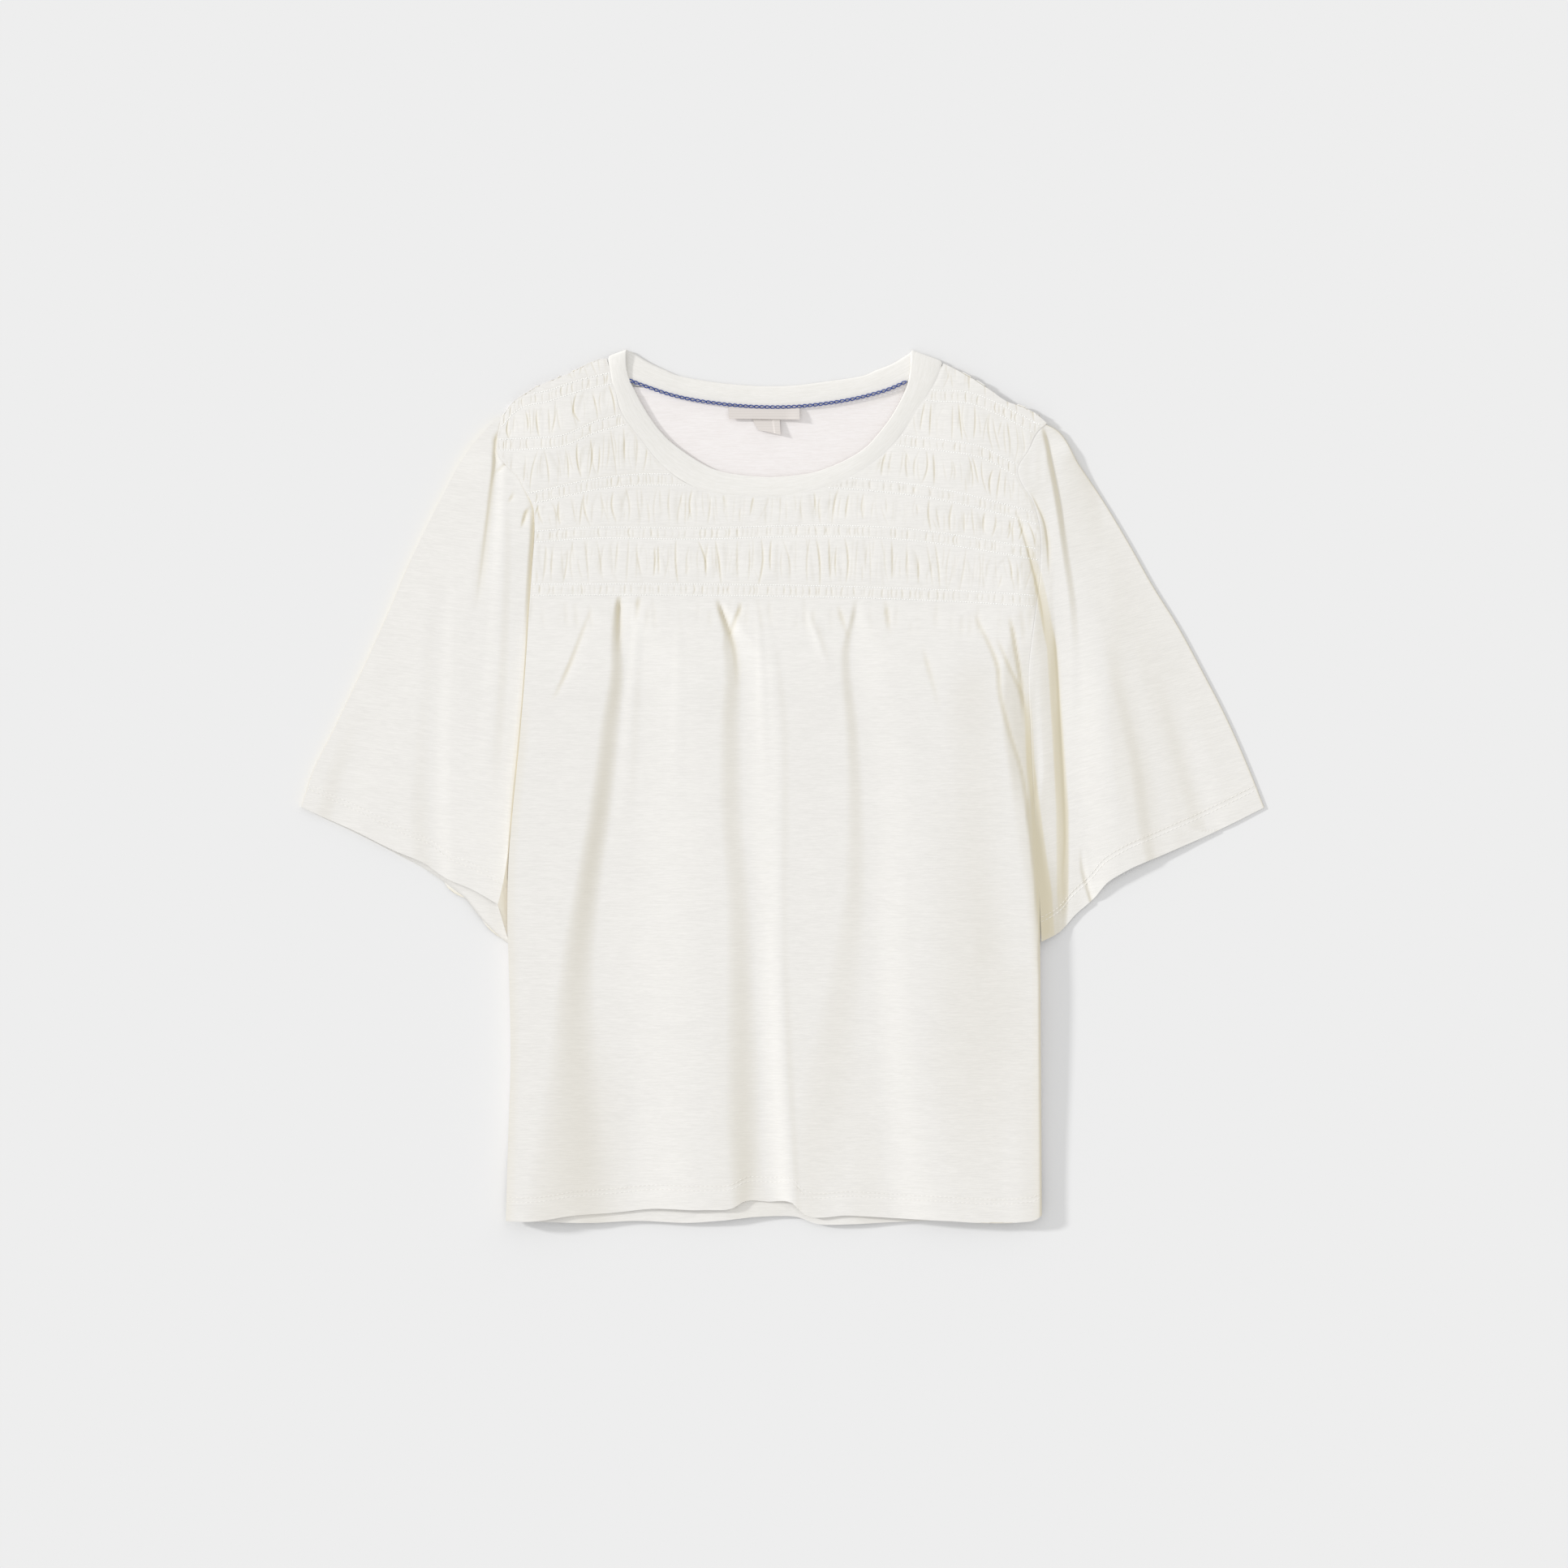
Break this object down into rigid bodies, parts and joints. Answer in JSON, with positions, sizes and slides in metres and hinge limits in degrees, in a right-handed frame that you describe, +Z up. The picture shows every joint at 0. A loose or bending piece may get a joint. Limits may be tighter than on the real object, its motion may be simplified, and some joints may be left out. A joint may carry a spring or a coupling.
{
  "type": "ruffle-sleeve t-shirt laid flat",
  "caption": "Short-sleeved t-shirt with a shirred yoke, gathered front, wide flared sleeves and a round neckband, laid flat on its back.",
  "frame": {"origin": "centre of the bounding box on the floor that the shirt lies on", "axes": "+X across the shirt towards the sleeve on the right as seen from above, +Y towards the neck, +Z up from the floor"},
  "size_m": [0.664, 0.6032, 0.0146],
  "materials": {
    "jersey_back": "off-white cotton slub jersey, matt",
    "jersey_front": "off-white cotton slub jersey, matt, shirred with elastic thread at the yoke",
    "jersey_sleeves": "off-white cotton slub jersey, matt",
    "jersey_band": "off-white cotton slub jersey, doubled, with a blue chain stitch inside the back neck",
    "label_satin": "bare pale grey woven satin"
  },
  "bodies": {
    "root": {"back_panel": "jersey_back", "front_panel": "jersey_front", "sleeve_left": "jersey_sleeves", "sleeve_right": "jersey_sleeves", "neckband": "jersey_band", "neck_label": "label_satin", "size_tab": "label_satin"}
  },
  "joints": []
}
